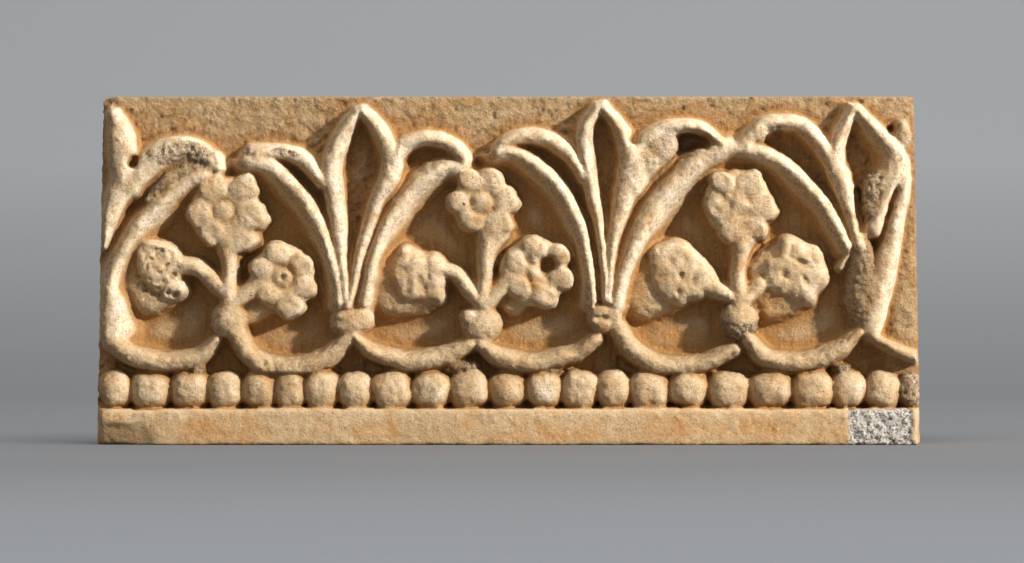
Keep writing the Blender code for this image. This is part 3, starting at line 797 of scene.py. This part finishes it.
# Painted shade: grey-brown mottling on the high sides that face away from the lamp; the same specks are laid
# lighter on the pale crests.
specks_and_painted_shade = times(between(grain(3.2, 5.0, 0.75), 0.44, 0.6), between(crest, 0.5, 0.7))
colour = blend(times(specks_and_painted_shade, between(painted_light_side, 0.56, 0.1)), colour, "#7A6854")
colour = blend(times(specks_and_painted_shade, times(patchy, pale_crest_and_highlight)), colour, "#A8957B")
eaten = times(between(crumbled, 0.7, 1.3), between(grain(2.8, 4.0, 0.7), 0.44, 0.6))
colour = blend(eaten, colour, "#7D6850")
colour = blend(between(grain(2.4, 4.0), 0.6, 0.76), colour, "#8B6A46")
colour = blend(between(grain(1.9, 4.0, 0.7), 0.58, 0.8), colour, "#D2BD98")
colour = blend(between(grain(1.5, 3.0, 0.7), 0.46, 0.28), colour, "#86633C")
colour = blend(repair, colour, "#D3CBC0")
colour = blend(times(repair, between(grain(2.2, 4.0), 0.48, 0.6)), colour, "#7F776E")
tree.links.new(colour, shader.inputs["Base Color"])
shader.inputs["Roughness"].default_value = 0.9
shader.inputs["Specular IOR Level"].default_value = 0.3
strength = between(crumbled, 0.0, 1.1)
fine = node("Bump", [(strength, "Strength"), (grain(3.0, 5.0, 0.7), "Height")], in_1=0.0055)
tree.links.new(fine.outputs[0], shader.inputs["Normal"])
panel.data.materials.clear()
panel.data.materials.append(stucco)

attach(panel, "root")
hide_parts("stucco_panel")

# The studio: a pale sweep of floor and wall, a hard lamp high on the right, and soft light all round.
VIEW_WIDTH = 0.8192
DISTANCE = 3.0
LOOK_X = 0.0028
LOOK_Z = 0.1308
SENSOR = 36.0

camera = bpy.data.cameras.new("camera")
camera.sensor_width = SENSOR
camera.lens = SENSOR * DISTANCE / VIEW_WIDTH
eye = bpy.data.objects.new("camera", camera)
eye.location = (LOOK_X, CREST * MM - DISTANCE, LOOK_Z)
eye.rotation_euler = (math.pi / 2, 0, 0)
bpy.context.scene.collection.objects.link(eye)
bpy.context.scene.camera = eye

SWEEP_RADIUS = 2.4
WALL_Y = 3.6
bpy.ops.object.select_all(action="DESELECT")
bpy.ops.mesh.primitive_plane_add(size=1, location=(0, WALL_Y / 2 - 1.5, 0))
sweep = bpy.context.object
sweep.name = "floor_sweep"
sweep.scale = (8, WALL_Y + 3, 1)
bpy.ops.object.transform_apply(location=True, scale=True)
bpy.ops.object.mode_set(mode="EDIT")
bpy.ops.mesh.select_all(action="DESELECT")
bpy.ops.object.mode_set(mode="OBJECT")
far_edge = max(vertex.co.y for vertex in sweep.data.vertices)
for edge in sweep.data.edges:
    edge.select = all(sweep.data.vertices[index].co.y > far_edge - 0.01 for index in edge.vertices)
bpy.ops.object.mode_set(mode="EDIT")
bpy.ops.mesh.select_mode(type="EDGE")
bpy.ops.mesh.extrude_edges_move(TRANSFORM_OT_translate={"value": (0, 0, 4)})
bpy.ops.object.mode_set(mode="OBJECT")
for edge in sweep.data.edges:
    ends = [sweep.data.vertices[index].co for index in edge.vertices]
    edge.select = all(end.y > far_edge - 0.01 and end.z < 0.01 for end in ends)
bpy.ops.object.mode_set(mode="EDIT")
bpy.ops.mesh.bevel(offset=SWEEP_RADIUS, segments=24)
bpy.ops.object.mode_set(mode="OBJECT")
bpy.ops.object.shade_smooth()
paper = bpy.data.materials.new("studio_paper")
paper.use_nodes = True
tree = paper.node_tree
place = node("SeparateXYZ", [(node("TexCoord").outputs["Object"], 0)]).outputs
# Painted shade: the paper is painted darker on the floor near and behind the panel, and lighter up the wall.
paper_painted_shade = blend(between(place[1], -1.3, -0.4), "#A9A9A9", "#8D8C8B")
paper_painted_shade = blend(between(place[2], 0.0, 0.3), paper_painted_shade, "#B2B1AF")
tree.links.new(paper_painted_shade, tree.nodes["Principled BSDF"].inputs["Base Color"])
tree.nodes["Principled BSDF"].inputs["Roughness"].default_value = 0.95
tree.nodes["Principled BSDF"].inputs["Specular IOR Level"].default_value = 0.1
sweep.data.materials.append(paper)
sweep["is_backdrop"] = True

# Travel of the lamp's light: mostly across the face from the right, and 28 degrees downwards there
OFF_FACE = math.radians(60)
DOWNWARD = math.radians(28)
travel = np.array([
    -math.sin(OFF_FACE) * math.cos(DOWNWARD), math.cos(OFF_FACE), -math.sin(OFF_FACE) * math.sin(DOWNWARD)
])
LAMP_DISTANCE = 5.0
lamp = bpy.data.lights.new("lamp", "AREA")
lamp.shape = "DISK"
lamp.size = 0.34
lamp.energy = 455
lamp.color = (1.0, 0.94, 0.86)
lamp_stand = bpy.data.objects.new("lamp", lamp)
lamp_stand.location = -travel * LAMP_DISTANCE + np.array([0, 0, HEIGHT / 2 * MM])
lamp_stand.rotation_euler = (
    math.acos(-travel[2]), 0, math.atan2(travel[1], travel[0]) - math.pi / 2
)
bpy.context.scene.collection.objects.link(lamp_stand)
lit_by_lamp = bpy.data.collections.new("lit_by_lamp")
lit_by_lamp.objects.link(panel)
lamp_stand.light_linking.receiver_collection = lit_by_lamp

softbox = bpy.data.lights.new("softbox", "AREA")
softbox.shape = "RECTANGLE"
softbox.size = 3.0
softbox.size_y = 2.0
softbox.energy = 60
softbox_stand = bpy.data.objects.new("softbox", softbox)
softbox_stand.location = (0.6, -0.6, 2.8)
softbox_stand.rotation_euler = (math.radians(50), math.radians(6), 0)
bpy.context.scene.collection.objects.link(softbox_stand)
bpy.context.scene.view_settings.view_transform = "Standard"

world = bpy.context.scene.world or bpy.data.worlds.new("studio")
bpy.context.scene.world = world
world.use_nodes = True
world.node_tree.nodes["Background"].inputs[0].default_value = (0.86, 0.92, 1.0, 1)
world.node_tree.nodes["Background"].inputs[1].default_value = 0.62

low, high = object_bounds()
